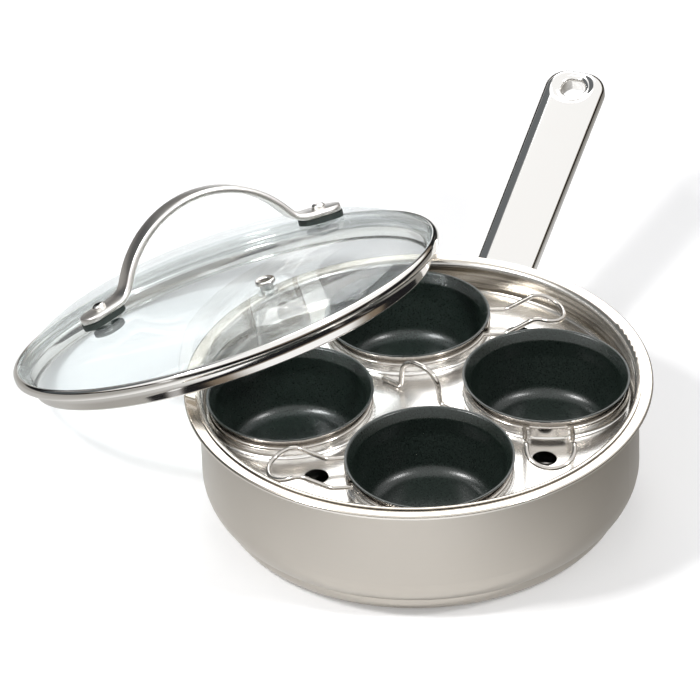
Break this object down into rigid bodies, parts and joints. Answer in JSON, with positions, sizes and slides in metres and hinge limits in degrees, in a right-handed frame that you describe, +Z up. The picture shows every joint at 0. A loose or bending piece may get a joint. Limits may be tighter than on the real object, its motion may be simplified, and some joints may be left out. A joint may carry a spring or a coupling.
{
  "type": "egg poacher pan",
  "caption": "Shallow steel saucepan with a straight hollow handle, a lift-out tray of coated egg cups with wire handles, and a domed glass lid leaning on its rim.",
  "frame": {"origin": "centre of the base's flat underside, on the table", "axes": "+Z up, +Y towards the tip of the pan's handle, +X to the right seen from behind the pan along +Y"},
  "size_m": [0.3291, 0.3578, 0.1065],
  "materials": {
    "satin_steel": "satin",
    "polished_steel": "polished",
    "core_aluminium": "rolled",
    "dark_coating": "soft satin nonstick coating",
    "clear_glass": "clear tempered glass",
    "dark_pad": "matte"
  },
  "bodies": {
    "pan": {"pan_body": "satin_steel", "base_core": "core_aluminium", "base_cap": "satin_steel", "pan_handle": "polished_steel", "handle_bracket": "polished_steel"},
    "tray": {"egg_tray": "polished_steel", "lifting_loop": "polished_steel"},
    "cup_right_body": {"cup_right": "polished_steel", "cup_right_coating": "dark_coating", "cup_right_handle": "polished_steel", "cup_right_clip": "polished_steel"},
    "cup_back_body": {"cup_back": "polished_steel", "cup_back_coating": "dark_coating", "cup_back_handle": "polished_steel", "cup_back_clip": "polished_steel"},
    "cup_left_body": {"cup_left": "polished_steel", "cup_left_coating": "dark_coating", "cup_left_handle": "polished_steel", "cup_left_clip": "polished_steel"},
    "cup_front_body": {"cup_front": "polished_steel", "cup_front_coating": "dark_coating", "cup_front_handle": "polished_steel", "cup_front_clip": "polished_steel"},
    "lid": {"lid_glass": "clear_glass", "lid_band": "polished_steel", "vent_eyelet": "polished_steel", "lid_handle": "polished_steel", "handle_pads": "dark_pad", "lid_washers": "dark_pad", "lid_rivets": "polished_steel"}
  },
  "joints": [
    {"name": "lid_lift", "type": "slide", "parent": "pan", "child": "lid", "axis": [0, 0, 1], "range_m": [0, 0.2]},
    {"name": "tray_lift", "type": "slide", "parent": "pan", "child": "tray", "axis": [0, 0, 1], "range_m": [0, 0.1]},
    {"name": "cup_right_lift", "type": "slide", "parent": "tray", "child": "cup_right_body", "axis": [0.0334, 0.015, 0.9993], "range_m": [0, 0.06]},
    {"name": "cup_back_lift", "type": "slide", "parent": "tray", "child": "cup_back_body", "axis": [-0.015, 0.0334, 0.9993], "range_m": [0, 0.06]},
    {"name": "cup_left_lift", "type": "slide", "parent": "tray", "child": "cup_left_body", "axis": [-0.0334, -0.015, 0.9993], "range_m": [0, 0.06]},
    {"name": "cup_front_lift", "type": "slide", "parent": "tray", "child": "cup_front_body", "axis": [0.015, -0.0334, 0.9993], "range_m": [0, 0.06]}
  ],
  "couplings": [
    {"joint": "tray_lift", "follows": "lid_lift", "ratio": 0.5},
    {"joint": "cup_back_lift", "follows": "lid_lift", "ratio": 0.3},
    {"joint": "cup_left_lift", "follows": "lid_lift", "ratio": 0.3}
  ]
}
